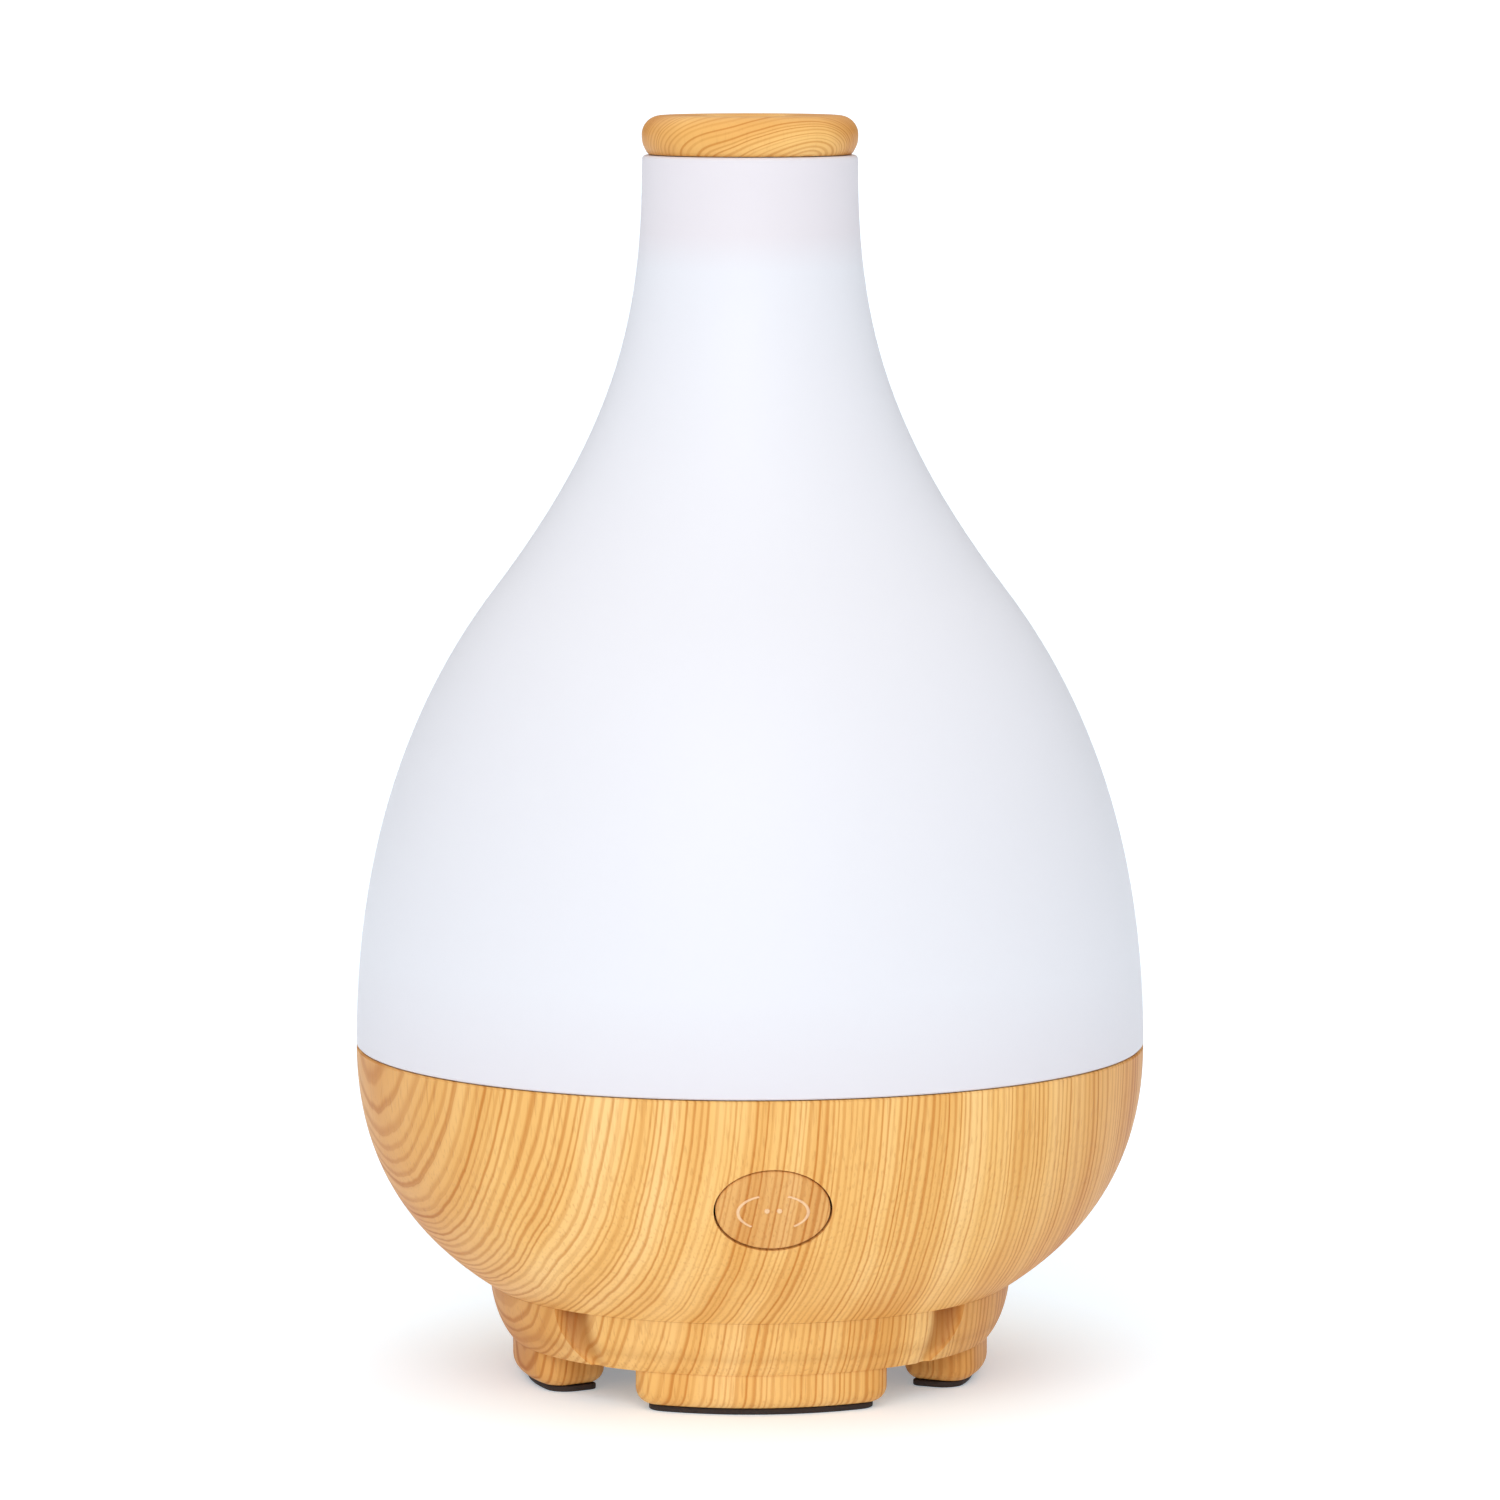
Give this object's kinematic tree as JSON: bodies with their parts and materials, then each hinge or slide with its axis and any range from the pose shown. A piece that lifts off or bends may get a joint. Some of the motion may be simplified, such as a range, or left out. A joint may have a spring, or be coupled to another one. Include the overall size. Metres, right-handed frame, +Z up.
{
  "type": "cool mist humidifier",
  "caption": "Vase-shaped ultrasonic cool mist humidifier: wood-grain base on short feet, frosted lit cover, wood-grain cap with a mist hole, oval front button.",
  "frame": {"origin": "on the floor under the middle of the base", "axes": "+Z up along the body's axis, -Y towards the button, +X to the right seen from the front"},
  "size_m": [0.145, 0.145, 0.2322],
  "materials": {
    "frosted_cover": "frosted, lit from inside",
    "wood_grain": "satin printed wood grain",
    "button_wood": "satin printed wood grain",
    "white_plastic": "moulded satin",
    "lid_plastic": "translucent satin",
    "rubber": "matte",
    "silicone": "matte",
    "black_plastic": "satin",
    "circuit_board": "solder mask",
    "steel": "bright",
    "aluminium": "satin",
    "brass": "bright",
    "copper": "enamelled wire",
    "lamp": "clear lens",
    "sleeve": "shrink sleeve",
    "lead_red": "insulation",
    "lead_white": "insulation"
  },
  "bodies": {
    "base": {"base_bowl": "wood_grain", "bottom_cover": "wood_grain", "foot_pad_front": "rubber", "foot_pad_right": "rubber", "foot_pad_rear": "rubber", "foot_pad_left": "rubber", "base_screw_1": "steel", "base_screw_2": "steel", "base_screw_3": "steel", "base_screw_4": "steel", "water_tank": "white_plastic", "tank_seal_ring": "silicone", "piezo_disc": "brass", "piezo_gasket": "silicone", "piezo_retainer": "white_plastic", "retainer_screw_1": "steel", "retainer_screw_2": "steel", "retainer_screw_3": "steel", "duct_hood": "white_plastic", "fan_frame": "black_plastic", "fan_stator": "copper", "fan_screw_1": "steel", "fan_screw_2": "steel", "air_funnel": "white_plastic", "main_board": "circuit_board", "board_screw_1": "steel", "board_screw_2": "steel", "board_screw_3": "steel", "heat_sink": "aluminium", "power_transistor": "black_plastic", "choke_coil": "copper", "filter_capacitor": "sleeve", "control_chip": "black_plastic", "fan_plug": "white_plastic", "light_board": "circuit_board", "lamp_1": "lamp", "lamp_2": "lamp", "lamp_3": "lamp", "lamp_4": "lamp", "lamp_5": "lamp", "lamp_6": "lamp", "push_switch": "steel", "switch_board": "circuit_board", "power_socket": "black_plastic", "socket_lead": "lead_red", "disc_lead": "lead_white", "light_lead": "lead_white"},
    "cover": {"outer_cover": "frosted_cover"},
    "cap": {"mist_cap": "wood_grain", "cap_plug": "white_plastic", "cap_seal_ring": "silicone"},
    "lid": {"splash_lid": "lid_plastic", "mist_chimney": "lid_plastic"},
    "button": {"button_cap": "button_wood", "switch_plunger": "black_plastic"},
    "rotor": {"fan_rotor": "black_plastic", "fan_shaft": "steel"}
  },
  "joints": [
    {"name": "cover_lift", "type": "slide", "parent": "base", "child": "cover", "axis": [0, 0, 1], "range_m": [0, 0.12]},
    {"name": "cap_lift", "type": "slide", "parent": "cover", "child": "cap", "axis": [0, 0, 1], "range_m": [0, 0.025]},
    {"name": "lid_lift", "type": "slide", "parent": "base", "child": "lid", "axis": [0, 0, 1], "range_m": [0, 0.043]},
    {"name": "button_press", "type": "slide", "parent": "base", "child": "button", "axis": [0, 0.9277, 0.3734], "range_m": [0, 0.0005], "stiffness_N_per_m": 400},
    {"name": "fan_spin", "type": "hinge", "parent": "base", "child": "rotor", "pos_m": [-0.026, 0, 0.0165], "axis": [0, 0, 1], "continuous": true}
  ],
  "couplings": [
    {"joint": "lid_lift", "follows": "cover_lift", "ratio": 0.35}
  ]
}
